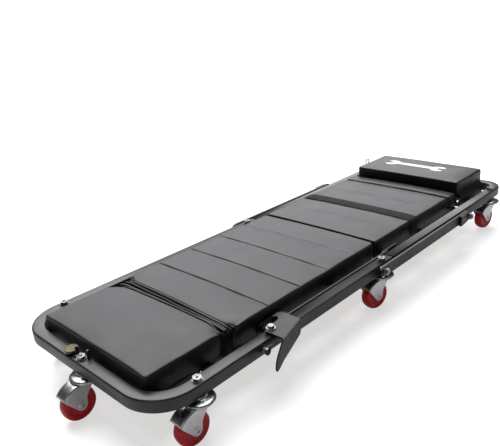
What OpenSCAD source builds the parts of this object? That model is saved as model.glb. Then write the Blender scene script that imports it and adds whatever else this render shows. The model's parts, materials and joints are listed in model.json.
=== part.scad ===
// Folding mechanics creeper that also stands as a low seat.
// The foot frame is the base. Two pairs of equal links carry the head frame up and over it.
// The head cushion hinges up into a backrest. Seven swivel castors carry the frames.
// X runs from the foot bar to the head bar, Y to the left, Z up from the floor.

/* [Frame] */
// outside width over the two side rails
frame_w = 430; // [380:5:480]
// side of the square tube
tube = 25; // [20:1:30]
// wall of the square tube
wall = 2; // [1.5:0.5:3]
// outer bend radius at the foot corners
foot_bend = 80; // [60:5:100]
// outer bend radius at the head corners
head_bend = 52; // [45:1:80]
// foot bar to the end of the foot frame rails
foot_len = 662; // [600:1:700]
// foot bar to the start of the head frame rails
head_start = 666; // [604:1:704]
// foot bar to the outside of the head bar
total_len = 1285; // [1200:5:1350]

/* [Links] */
// length of every link between its two pivots
link_len = 400; // [360:5:420]
// lower pivot of the front links
front_pivot_x = 283; // [260:1:300]
// lower pivot of the rear links
rear_pivot_x = 613; // [600:1:640]
// height of the front link
front_link_h = 24; // [18:1:24]
// height of the rear link
rear_link_h = 25; // [20:1:28]
// thickness of the front link
front_link_t = 4.5; // [4:0.5:6]
// thickness of the rear link
rear_link_t = 6; // [4:1:8]

/* [Cushions] */
// half width of the long cushions
pad_half = 165; // [150:1:168]
// height of the long cushions above the rails
pad_rise = 20; // [10:1:30]
// thickness of the cushion boards
board_t = 10; // [8:1:12]
// height of the headrest above the rails
rest_rise = 44; // [35:1:60]

/* [Castors] */
// wheel radius
wheel_r = 31.75; // [25:0.25:38]
// wheel width
wheel_w = 22; // [18:1:26]
// distance from the swivel axis to the axle
trail = 21.5; // [15:0.5:30]
// underside of the rails above the floor
castor_h = 83.5; // [80:0.5:100]

/* [Hidden] */
$fn = 48;

rail_z = castor_h;
top_z = rail_z + tube;
half_w = frame_w / 2;
rail_in = half_w - tube;
rail_y = half_w - tube / 2;
head_in = total_len - tube;
foot_castor_x = tube / 2;
front_castor_x = 96;
mid_castor_x = 634.5;
head_castor_x = 1208;
mid_x = (foot_castor_x - trail - wheel_r + total_len) / 2;

front_pivot_z = top_z - 12.5;
rear_pivot_z = top_z - 12.5;
front_top_x = front_pivot_x + link_len;
rear_top_x = rear_pivot_x + link_len;
front_out = rail_in - 2;
front_in = front_out - front_link_t;
crank_in = 166.4;
crank_s = 52;
rear_in = half_w + 4;
rear_out = rear_in + rear_link_t;
stop_out = rear_out + 7;
bolt_r = 4;
run = 0.05;
gusset_in = front_in - 5;
gusset_t = 4;

bar_t = 4;
bar_w = 25;
foot_bars = [140, 330, 505];
toe_bar_x = 42;
toe_bar_w = 20;
toe_bar_half = 188;
head_bars = [705, 870, 1150];

pad_gap_rear = 665;
seat_front = 671;
seat_rear = 1031;
roll_rear = 1075;
band_front = 824;
band_rear = 861;
band_t = 1.2;
pad_top = top_z + pad_rise;
foot_front = 30;
foot_rear = 203;
foot_half = 158;
long_front = 213;

rest_front = 1090;
rest_rear = 1248;
rest_half = 161;
rest_bottom = top_z + 2;
rest_top = top_z + rest_rise;
hinge_x = 1050;
hinge_z = top_z - 14;

loop_x = 1197;
loop_h = 30;
loop_r = 9;
loop_wire = 1.6;

latch_x = 273;
latch_y = 200;
plate_low = top_z + 2;
plate_t = 3;
plate_rear = 330;
flange_y = half_w + 2.5;
flange_turn = 16;
flange_top = plate_low + plate_t - 0.4;
spring_x = 236;
spring_z = top_z - 14;
spring_r = 5.2;
spring_wire = 1;
washer_r = 9;
nut_r = 6.5;
pin_head_r = 7;
pin_head_t = 4;

arm_t = 4;
arm_out = 174;
arm_rear = 1225;
arm_drop = 10;
arm_shelf_in = 120;

disc_y = 30;
clip_y = 9;
tab_y = -13;
hook_x = 1088;
hook_y = 196;

// swivel position and angle of each castor, angle zero trails toward the foot bar
castors = [[foot_castor_x, 0, 0], [front_castor_x, -rail_y, -2], [front_castor_x, rail_y, 6],
    [mid_castor_x, -rail_y, -12], [mid_castor_x, rail_y, -5],
    [head_castor_x, -rail_y, -9], [head_castor_x, rail_y, 4]];
head_z = castor_h - 10.5;
crown_z = head_z - 0.6;
crown_t = 3;
crown_r = 24;
stem_r = 5;
stem_foot_r = 9;
stem_top = top_z + 5.6;
plate_in = wheel_w / 2 + 2;
fork_t = 2.5;
axle_r = 4;
rivet_r = 5.4;
rivet_end = plate_in + fork_t + 1.2;
fork_boss_r = 9.5;

module place() {
    translate([-mid_x, 0, 0]) children();
}

module box(x0, x1, y0, y1, z0, z1) {
    translate([x0, y0, z0]) cube([x1 - x0, y1 - y0, z1 - z0]);
}

module along_y(x, z, y0, y1, r) {
    translate([x, y1, z]) rotate([90, 0, 0]) cylinder(r = r, h = y1 - y0);
}

module both() {
    children();
    mirror([0, 1, 0]) children();
}

module round_rect(x0, x1, y0, y1, r) {
    translate([x0 + r, y0]) square([x1 - x0 - 2 * r, y1 - y0]);
    translate([x0, y0 + r]) square([x1 - x0, y1 - y0 - 2 * r]);
    for (x = [x0 + r, x1 - r], y = [y0 + r, y1 - r]) translate([x, y]) circle(r = r);
}

module slab(x0, x1, half, z0, z1, r) {
    translate([0, 0, z0]) linear_extrude(z1 - z0) round_rect(x0, x1, -half, half, r);
}

// hollow square tube bent through a right angle about the Z axis
module tube_bend(outer) {
    rotate_extrude(angle = 90) difference() {
        translate([outer - tube, 0]) square([tube, tube]);
        translate([outer - tube + wall, wall]) square([tube - 2 * wall, tube - 2 * wall]);
    }
}

module tube_x(x0, x1, y) {
    difference() {
        box(x0, x1, y - tube / 2, y + tube / 2, rail_z, top_z);
        box(x0 - 1, x1 + 1, y - tube / 2 + wall, y + tube / 2 - wall, rail_z + wall, top_z - wall);
    }
}

module tube_y(x, y0, y1) {
    difference() {
        box(x, x + tube, y0, y1, rail_z, top_z);
        box(x + wall, x + tube - wall, y0 - 1, y1 + 1, rail_z + wall, top_z - wall);
    }
}

module stem_holes(list) {
    for (k = list) translate([castors[k][0], castors[k][1], rail_z - 1])
        cylinder(r = stem_r, h = tube + 2);
}

module frame_foot() {
    color([0.09, 0.09, 0.1]) place() difference() {
        union() {
            both() tube_x(foot_bend, foot_len, rail_y);
            tube_y(0, -half_w + foot_bend, half_w - foot_bend);
            translate([foot_bend, half_w - foot_bend, rail_z]) rotate([0, 0, 90]) tube_bend(foot_bend);
            translate([foot_bend, -half_w + foot_bend, rail_z]) rotate([0, 0, 180]) tube_bend(foot_bend);
        }
        stem_holes([0, 1, 2, 3, 4]);
        both() along_y(front_pivot_x, front_pivot_z, rail_in - 1, rail_in + wall + 1, bolt_r);
        both() along_y(rear_pivot_x, rear_pivot_z, half_w - wall - 1, half_w + 1, bolt_r);
        translate([latch_x, -latch_y, top_z - wall - 1]) cylinder(r = bolt_r, h = wall + 2);
        along_y(spring_x, spring_z, -half_w - 1, -half_w + wall + 1, 3);
    }
}

module frame_head() {
    color([0.09, 0.09, 0.1]) place() difference() {
        union() {
            both() tube_x(head_start, total_len - head_bend, rail_y);
            tube_y(head_in, -half_w + head_bend, half_w - head_bend);
            translate([total_len - head_bend, half_w - head_bend, rail_z]) tube_bend(head_bend);
            translate([total_len - head_bend, -half_w + head_bend, rail_z]) rotate([0, 0, -90])
                tube_bend(head_bend);
        }
        stem_holes([5, 6]);
        both() along_y(front_top_x, front_pivot_z, rail_in - 1, rail_in + wall + 1, bolt_r);
        both() along_y(rear_top_x, rear_pivot_z, half_w - wall - 1, half_w + 1, bolt_r);
        both() along_y(hinge_x, hinge_z, rail_in - 1, rail_in + wall + 1, bolt_r);
    }
}

module cross_bar(x) {
    box(x, x + bar_w, -rail_y, rail_y, rail_z - bar_t, rail_z);
}

module cross_bars_foot() {
    color([0.1, 0.1, 0.11]) place() {
        box(toe_bar_x, toe_bar_x + toe_bar_w, -toe_bar_half, toe_bar_half, rail_z - bar_t, rail_z);
        for (x = foot_bars) cross_bar(x);
    }
}

module cross_bars_head() {
    color([0.1, 0.1, 0.11]) place() for (x = head_bars) cross_bar(x);
}

module link_profile(length, h) {
    union() {
        translate([0, -h / 2]) square([length, h]);
        circle(d = h);
        translate([-6.5, 0]) circle(r = 9);
        translate([length, 0]) circle(d = h);
    }
}

// front link of the left side, its foot cranked inward past the latch hook and spaced off the rail
module front_link() {
    difference() {
        union() {
            along_y(front_pivot_x, front_pivot_z, crank_in + 1, rail_in - 0.3, 8);
            translate([front_pivot_x, crank_in + front_link_t, front_pivot_z]) rotate([90, 0, 0])
                linear_extrude(front_link_t) union() {
                    translate([0, -front_link_h / 2]) square([crank_s + front_link_t, front_link_h]);
                    circle(d = front_link_h);
                }
            box(front_pivot_x + crank_s, front_pivot_x + crank_s + front_link_t, crank_in, front_out,
                front_pivot_z - front_link_h / 2, front_pivot_z + front_link_h / 2);
            translate([front_top_x, front_out, front_pivot_z]) rotate([90, 0, 0])
                linear_extrude(front_link_t) union() {
                    translate([crank_s - link_len, -front_link_h / 2])
                        square([link_len - crank_s, front_link_h]);
                    circle(d = front_link_h);
                }
        }
        along_y(front_pivot_x, front_pivot_z, crank_in - 1, rail_in + 1, bolt_r + run);
        along_y(front_top_x, front_pivot_z, front_in - 1, front_out + 1, bolt_r + run);
    }
}

module front_link_left() {
    color([0.1, 0.1, 0.11]) place() front_link();
}

module front_link_right() {
    color([0.1, 0.1, 0.11]) place() mirror([0, 1, 0]) front_link();
}

module rear_link() {
    difference() {
        translate([rear_pivot_x, rear_out, rear_pivot_z]) rotate([90, 0, 0])
            linear_extrude(rear_link_t) link_profile(link_len, rear_link_h);
        along_y(rear_pivot_x, rear_pivot_z, rear_in - 1, rear_out + 1, bolt_r + run);
        along_y(rear_top_x, rear_pivot_z, rear_in - 1, rear_out + 1, bolt_r + 0.5);
    }
}

module rear_link_left() {
    color([0.11, 0.11, 0.12]) place() rear_link();
}

module rear_link_right() {
    color([0.11, 0.11, 0.12]) place() mirror([0, 1, 0]) rear_link();
}

// plate welded outside each rear link at its upper pivot
module link_stops() {
    color([0.1, 0.1, 0.11]) place() both() difference() {
        translate([rear_top_x, stop_out, rear_pivot_z]) rotate([90, 0, 0])
            linear_extrude(stop_out - rear_out) polygon([
                [-46, -14.5], [-34, -13.5], [-18, -12], [-4, -9.5], [6, -6.5], [9.5, 0],
                [6, 7], [-4, 11.8], [-46, 11.8]]);
        along_y(rear_top_x, rear_pivot_z, rear_out - 1, stop_out + 1, bolt_r + 0.5);
    }
}

// bolt through the outer rail wall with a spacer, and a washer and nut outside the link
module link_bolt(x, z, face) {
    along_y(x, z, half_w - wall, face + 9.5, bolt_r);
    along_y(x, z, half_w - wall - 3, half_w - wall, pin_head_r);
    along_y(x, z, half_w, rear_in - 0.3, washer_r);
    along_y(x, z, face + 0.3, face + 2, washer_r);
    translate([x, face + 7.5, z]) rotate([90, 0, 0]) cylinder(r = 8, h = 5.5, $fn = 6);
}

// pivot stub and inner head that carry the foot of the front link
module front_lower_bolts() {
    color([0.6, 0.6, 0.62]) place() both() {
        along_y(front_pivot_x, front_pivot_z, crank_in - 0.2, rail_in + wall, bolt_r);
        along_y(front_pivot_x, front_pivot_z, crank_in - 1, crank_in - 0.2, 6.5);
        along_y(front_pivot_x, front_pivot_z, rail_in + wall, rail_in + wall + pin_head_t, pin_head_r);
    }
}

module front_upper_bolts() {
    color([0.6, 0.6, 0.62]) place() both() {
        along_y(front_top_x, front_pivot_z, gusset_in - 3, rail_in + wall, bolt_r);
        along_y(front_top_x, front_pivot_z, gusset_in - 3, gusset_in, pin_head_r);
        along_y(front_top_x, front_pivot_z, rail_in + wall, rail_in + wall + pin_head_t, pin_head_r);
    }
}

module rear_lower_bolts() {
    color([0.7, 0.7, 0.72]) place() both() {
        link_bolt(rear_pivot_x, rear_pivot_z, rear_out);
    }
}

module rear_upper_bolts() {
    color([0.7, 0.7, 0.72]) place() both() {
        link_bolt(rear_top_x, rear_pivot_z, stop_out);
    }
}

// plates on the first head cross bar that hold the inner end of the upper front pivots
module seat_gussets() {
    color([0.1, 0.1, 0.11]) place() both() difference() {
        translate([0, gusset_in + gusset_t, 0]) rotate([90, 0, 0]) linear_extrude(gusset_t) polygon([
            [head_start + 4, top_z - 1],
            [head_start + 66, top_z - 1],
            [head_start + 66, rail_z],
            [head_start + 4, rail_z]]);
        along_y(front_top_x, front_pivot_z, gusset_in - 1, gusset_in + gusset_t + 1, bolt_r);
    }
}

// point inside the flange at a distance along it from its rear end
function flange_point(along) = [
    plate_rear - along * cos(flange_turn) + plate_t / 2 * sin(flange_turn),
    flange_y + along * sin(flange_turn) + plate_t / 2 * cos(flange_turn)];

// folded plate with a hook and a drooping handle, drawn for the left side
module lever_shape() {
    translate([0, 0, plate_low]) difference() {
        linear_extrude(plate_t) polygon([
            [260, 197], [304, 189.5], [311, 184], [309, 178.5], [305, 175], [308, 172.2],
            [322, 171.8], [328, 178], [plate_rear, 192], flange_point(1), flange_point(71)]);
        translate([latch_x, latch_y, -1]) cylinder(r = bolt_r + run, h = plate_t + 2);
    }
    translate([plate_rear, flange_y, 0]) rotate([0, 0, 180 - flange_turn]) rotate([90, 0, 0])
        linear_extrude(plate_t) polygon([
            [0, flange_top], [73, flange_top], [95, top_z - 14],
            [103, top_z - 24], [106, top_z - 36], [103, top_z - 42], [97, top_z - 42],
            [78, top_z - 36], [4, top_z - 26], [0, top_z - 20]]);
}

module latch_lever() {
    color([0.12, 0.12, 0.13]) place() mirror([0, 1, 0]) lever_shape();
}

module latch_bolt() {
    color([0.75, 0.75, 0.77]) place() mirror([0, 1, 0]) {
        translate([latch_x, latch_y, top_z - wall]) cylinder(r = bolt_r, h = wall + 5.4);
        translate([latch_x, latch_y, top_z]) cylinder(r = washer_r, h = 1.7);
        translate([latch_x, latch_y, plate_low + plate_t + 0.4]) cylinder(r = washer_r, h = 1.4);
        translate([latch_x, latch_y, plate_low + plate_t + 1.8]) cylinder(r = nut_r, h = 5, $fn = 6);
        translate([latch_x, latch_y, top_z - wall - 4]) cylinder(r = nut_r, h = 4, $fn = 6);
    }
}

module spring_ring(y) {
    translate([spring_x, y, spring_z]) rotate([90, 0, 0]) rotate_extrude()
        translate([spring_r, 0]) circle(r = spring_wire);
}

// return spring wound on a bolt in the rail side, its leg reaching to the handle
module latch_spring() {
    color([0.3, 0.3, 0.32]) place() mirror([0, 1, 0]) {
        along_y(spring_x, spring_z, half_w - wall, half_w + 10, 3);
        along_y(spring_x, spring_z, half_w + 8, half_w + 11, nut_r);
        along_y(spring_x, spring_z, half_w - wall - 3, half_w - wall, nut_r - 1);
        for (k = [0:3]) spring_ring(half_w + 1 + k * 1.9);
        translate([spring_x, half_w + 4.5, spring_z + spring_r]) rotate([0, 90, 10])
            cylinder(r = spring_wire, h = 26);
    }
}

// cushion wrapped over a board that shows flush underneath
module cushion(x0, x1, half, top, r) {
    difference() {
        slab(x0, x1, half, rail_z, top, r);
        slab(x0 + 8, x1 - 8, half - 8, rail_z - 1, rail_z + board_t, r);
    }
}

module cushion_board(x0, x1, half, r) {
    slab(x0 + 8, x1 - 8, half - 8, rail_z, rail_z + board_t, r);
}

module foot_pad() {
    color([0.1, 0.1, 0.11]) place() cushion(foot_front, foot_rear, foot_half, pad_top, 12);
}

module foot_board() {
    color([0.45, 0.33, 0.2]) place() cushion_board(foot_front, foot_rear, foot_half, 12);
}

module long_pad() {
    color([0.12, 0.12, 0.13]) place() cushion(long_front, pad_gap_rear, pad_half, pad_top, 8);
}

module long_board() {
    color([0.45, 0.33, 0.2]) place() cushion_board(long_front, pad_gap_rear, pad_half, 8);
}

module seat_pad() {
    color([0.12, 0.12, 0.13]) place() difference() {
        cushion(seat_front, roll_rear, pad_half, pad_top, 8);
        box(seat_rear - 2, seat_rear + 2, -pad_half - 1, pad_half + 1, pad_top - 12, pad_top + 1);
        difference() {
            box(band_front, band_rear, -pad_half - 1, pad_half + 1, rail_z + 4, pad_top + 1);
            box(band_front - 1, band_rear + 1, -pad_half + band_t, pad_half - band_t,
                rail_z, pad_top - band_t);
        }
    }
}

module seat_board() {
    color([0.45, 0.33, 0.2]) place() cushion_board(seat_front, roll_rear, pad_half, 8);
}

module seat_band() {
    color([0.05, 0.05, 0.05]) place() difference() {
        box(band_front, band_rear, -pad_half, pad_half, rail_z + 4, pad_top);
        box(band_front - 1, band_rear + 1, -pad_half + band_t, pad_half - band_t,
            rail_z, pad_top - band_t);
    }
}

module headrest_pad() {
    color([0.12, 0.12, 0.13]) place() difference() {
        slab(rest_front, rest_rear, rest_half, rest_bottom, rest_top, 9);
        slab(rest_front + 8, rest_rear - 8, rest_half - 8, rest_bottom - 1, rest_bottom + board_t, 9);
    }
}

module headrest_board() {
    color([0.45, 0.33, 0.2]) place()
        slab(rest_front + 8, rest_rear - 8, rest_half - 8, rest_bottom, rest_bottom + board_t, 9);
}

// flat arm beside the seat cushion with a shelf under the headrest
module headrest_arms() {
    color([0.1, 0.1, 0.11]) place() both() difference() {
        union() {
            translate([0, arm_out, 0]) rotate([90, 0, 0]) linear_extrude(arm_t) union() {
                translate([hinge_x, hinge_z]) circle(r = arm_drop);
                polygon([
                    [hinge_x, hinge_z - arm_drop], [arm_rear, hinge_z - arm_drop],
                    [arm_rear, rest_bottom], [rest_front + 2, rest_bottom],
                    [roll_rear + 1, hinge_z + arm_drop], [hinge_x, hinge_z + arm_drop]]);
            }
            box(rest_front + 4, arm_rear, arm_shelf_in, arm_out - arm_t, rest_bottom - 3, rest_bottom);
        }
        along_y(hinge_x, hinge_z, arm_out - arm_t - 1, arm_out + 1, bolt_r + run);
    }
}

module headrest_pins() {
    color([0.7, 0.7, 0.72]) place() both() {
        along_y(hinge_x, hinge_z, arm_out - arm_t - 2.3, rail_in + wall, bolt_r);
        along_y(hinge_x, hinge_z, arm_out + 0.3, rail_in, pin_head_r);
        along_y(hinge_x, hinge_z, arm_out - arm_t - 3.8, arm_out - arm_t - 0.3, pin_head_r);
        along_y(hinge_x, hinge_z, rail_in + wall, rail_in + wall + pin_head_t, pin_head_r);
    }
}

// bent wire grip that stands on the left rail beside the headrest
module wire_loop() {
    color([0.08, 0.08, 0.08]) place() translate([loop_x, rail_in + 4, top_z]) {
        cylinder(r = loop_wire, h = loop_h - loop_r);
        translate([0, 0, loop_h]) rotate([90, 0, 0]) rotate_extrude() translate([loop_r, 0])
            circle(r = loop_wire);
        cylinder(r = 2 * loop_wire, h = 3);
    }
}

// brass disc that stands on the foot bar
module foot_disc() {
    color([0.65, 0.52, 0.32]) place() translate([tube / 2, disc_y, top_z]) {
        cylinder(r = 4, h = 5);
        translate([0, 0, 5]) cylinder(r = 12.5, h = 4);
    }
}

// bent clip and upright tab beside the foot castor nut
module foot_clip() {
    color([0.15, 0.15, 0.16]) place() {
        box(6, 20, clip_y + 2, clip_y + 6, top_z, top_z + 3);
        box(10, 16, clip_y + 2, clip_y + 4, top_z + 3, top_z + 19);
        box(18, 22.5, tab_y, tab_y + 3, top_z, top_z + 17);
    }
}

// bent hook under each rail beside the headrest
module rail_hooks() {
    color([0.06, 0.06, 0.06]) place() both() {
        box(hook_x, hook_x + 24, hook_y, hook_y + 6, rail_z - 5, rail_z);
        box(hook_x, hook_x + 5, hook_y, hook_y + 6, rail_z - 13, rail_z - 5);
    }
}

// stem with a blind hole in its upper end
module stems(list) {
    for (k = list) translate([castors[k][0], castors[k][1], 0]) {
        difference() {
            translate([0, 0, crown_z - crown_t]) cylinder(r = stem_r, h = stem_top - crown_z + crown_t);
            translate([0, 0, stem_top - 5]) cylinder(r = 2.4, h = 6);
        }
        translate([0, 0, crown_z - crown_t - 3]) cylinder(r = stem_foot_r, h = 2.6);
        translate([0, 0, crown_z - crown_t - 0.4]) cylinder(r = stem_r, h = 0.4);
    }
}

// domed upper race under the rail
module heads(list) {
    for (k = list) translate([castors[k][0], castors[k][1], 0]) rotate_extrude() polygon([
        [stem_r, head_z], [26, head_z], [27, head_z + 1], [27, head_z + 2.4], [25, head_z + 4.4],
        [21, head_z + 5.8], [15.4, head_z + 6.4], [13.4, head_z + 8], [12.6, castor_h],
        [stem_r, castor_h]]);
}

module nuts(list) {
    for (k = list) translate([castors[k][0], castors[k][1], top_z]) difference() {
        union() {
            cylinder(r = 9, h = 1.4);
            translate([0, 0, 1.4]) cylinder(r = 8.3, h = 4.8, $fn = 6);
        }
        translate([0, 0, -1]) cylinder(r = stem_r, h = 12);
    }
}

module castor_stems_foot() {
    color([0.7, 0.7, 0.72]) place() stems([0, 1, 2, 3, 4]);
}

module castor_stems_head() {
    color([0.7, 0.7, 0.72]) place() stems([5, 6]);
}

module castor_heads_foot() {
    color([0.8, 0.8, 0.82]) place() heads([0, 1, 2, 3, 4]);
}

module castor_heads_head() {
    color([0.8, 0.8, 0.82]) place() heads([5, 6]);
}

module castor_nuts_foot() {
    color([0.8, 0.8, 0.82]) place() nuts([0, 1, 2, 3, 4]);
}

module castor_nuts_head() {
    color([0.8, 0.8, 0.82]) place() nuts([5, 6]);
}

module at_castor(k) {
    place() translate([castors[k][0], castors[k][1], 0]) rotate([0, 0, castors[k][2]]) children();
}

// side plate of the fork: a teardrop from the crown down to the axle
module fork_plate() {
    union() {
        polygon([
            [2, crown_z], [4, crown_z - 5], [0, crown_z - 13], [-8, 49], [-11.5, 42], [-12.3, 31],
            [-16, 26], [-29, 27], [-42, 41.5], [-51, 53], [-49.5, 58.5], [-41, 65.5],
            [-30, 70.5], [-20, crown_z]]);
        translate([-trail, wheel_r]) circle(r = fork_boss_r);
    }
}

// crown disc, two side plates and the curved shield that joins them over the wheel
module fork(k) {
    color([0.78, 0.79, 0.81]) at_castor(k) difference() {
        union() {
            translate([0, 0, crown_z - crown_t]) cylinder(r = crown_r, h = crown_t);
            for (y = [-plate_in, plate_in + fork_t]) translate([0, y, 0]) rotate([90, 0, 0])
                linear_extrude(fork_t) fork_plate();
            translate([0, plate_in + 1, 0]) rotate([90, 0, 0]) linear_extrude(2 * plate_in + 2)
                polygon([[-18, crown_z - crown_t], [-18, crown_z], [-20, crown_z], [-30, 70.5],
                    [-41, 65.5], [-49.5, 58.5], [-47.3, 57], [-39.4, 63.4], [-29, 67.8],
                    [-21, crown_z - crown_t]]);
        }
        translate([0, 0, crown_z - crown_t - 1]) cylinder(r = stem_r + run, h = crown_t + 2);
        along_y(-trail, wheel_r, -plate_in - fork_t - 1, plate_in + fork_t + 1, axle_r);
    }
}

module wheel(k) {
    color([0.72, 0.06, 0.07]) at_castor(k) translate([-trail, 0, wheel_r]) rotate([90, 0, 0])
        rotate_extrude() difference() {
            union() {
                translate([axle_r + run, -wheel_w / 2 - 0.6]) square([6, wheel_w + 1.2]);
                translate([axle_r + 2, -wheel_w / 2 + 1.6]) square([18, wheel_w - 3.2]);
                translate([22, -wheel_w / 2]) square([wheel_r - 26, wheel_w]);
                translate([24, -wheel_w / 2 + 4]) square([wheel_r - 24, wheel_w - 8]);
                for (s = [-1, 1]) translate([wheel_r - 4, s * (wheel_w / 2 - 4)]) circle(r = 4);
            }
        }
}

// hollow rivet with a flared rim outside each side plate
module axle(k) {
    color([0.7, 0.7, 0.72]) at_castor(k) difference() {
        union() {
            along_y(-trail, wheel_r, -rivet_end + 0.5, rivet_end - 0.5, axle_r);
            along_y(-trail, wheel_r, plate_in + fork_t, rivet_end, rivet_r);
            along_y(-trail, wheel_r, -rivet_end, -plate_in - fork_t, rivet_r);
        }
        along_y(-trail, wheel_r, rivet_end - 5, rivet_end + 1, 2.4);
        along_y(-trail, wheel_r, -rivet_end - 1, -rivet_end + 5, 2.4);
    }
}

module fork_1() {
    fork(0);
}
module fork_2() {
    fork(1);
}
module fork_3() {
    fork(2);
}
module fork_4() {
    fork(3);
}
module fork_5() {
    fork(4);
}
module fork_6() {
    fork(5);
}
module fork_7() {
    fork(6);
}
module wheel_1() {
    wheel(0);
}
module wheel_2() {
    wheel(1);
}
module wheel_3() {
    wheel(2);
}
module wheel_4() {
    wheel(3);
}
module wheel_5() {
    wheel(4);
}
module wheel_6() {
    wheel(5);
}
module wheel_7() {
    wheel(6);
}
module axle_1() {
    axle(0);
}
module axle_2() {
    axle(1);
}
module axle_3() {
    axle(2);
}
module axle_4() {
    axle(3);
}
module axle_5() {
    axle(4);
}
module axle_6() {
    axle(5);
}
module axle_7() {
    axle(6);
}

frame_foot();
frame_head();
cross_bars_foot();
cross_bars_head();
front_link_left();
front_link_right();
rear_link_left();
rear_link_right();
front_lower_bolts();
front_upper_bolts();
rear_lower_bolts();
rear_upper_bolts();
link_stops();
seat_gussets();
latch_lever();
latch_bolt();
latch_spring();
foot_pad();
foot_board();
long_pad();
long_board();
seat_pad();
seat_board();
seat_band();
headrest_pad();
headrest_board();
headrest_arms();
headrest_pins();
wire_loop();
foot_disc();
foot_clip();
rail_hooks();
castor_stems_foot();
castor_heads_foot();
castor_nuts_foot();
castor_stems_head();
castor_heads_head();
castor_nuts_head();
fork_1();
fork_2();
fork_3();
fork_4();
fork_5();
fork_6();
fork_7();
wheel_1();
wheel_2();
wheel_3();
wheel_4();
wheel_5();
wheel_6();
wheel_7();
axle_1();
axle_2();
axle_3();
axle_4();
axle_5();
axle_6();
axle_7();
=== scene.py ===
import json
import math

import bmesh
import bpy
import numpy as np
from mathutils import Matrix, Vector, noise


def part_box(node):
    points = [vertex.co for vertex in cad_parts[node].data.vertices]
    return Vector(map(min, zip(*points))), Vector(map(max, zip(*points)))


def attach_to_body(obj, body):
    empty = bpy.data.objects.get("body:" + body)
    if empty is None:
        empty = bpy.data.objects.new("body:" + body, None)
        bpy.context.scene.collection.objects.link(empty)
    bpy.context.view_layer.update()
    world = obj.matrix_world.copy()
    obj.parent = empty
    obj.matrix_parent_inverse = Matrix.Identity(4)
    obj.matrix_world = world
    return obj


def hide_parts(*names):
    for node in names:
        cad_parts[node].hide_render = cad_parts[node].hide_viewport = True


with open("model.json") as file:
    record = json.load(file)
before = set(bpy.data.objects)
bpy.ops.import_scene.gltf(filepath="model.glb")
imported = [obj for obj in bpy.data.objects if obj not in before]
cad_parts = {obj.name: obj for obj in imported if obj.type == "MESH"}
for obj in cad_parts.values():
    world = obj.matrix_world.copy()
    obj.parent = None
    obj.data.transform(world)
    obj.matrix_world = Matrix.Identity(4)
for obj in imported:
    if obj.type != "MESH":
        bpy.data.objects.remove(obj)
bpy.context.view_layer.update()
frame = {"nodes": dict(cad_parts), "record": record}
NODES = frame["nodes"]
JOINTS = {joint["name"]: joint for joint in frame["record"]["behaviour"]["joints"]}
SCENE = bpy.context.scene
SCENE.view_settings.view_transform = "Standard"
MM = 0.001
TINY = 1e-9
CASTORS = range(1, 8)
FOOT_CASTORS = range(1, 6)


# ---------------------------------------------------------------- materials
PEBBLE_SCALE, PEBBLE_SMOOTHNESS = 620, 0.6


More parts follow.
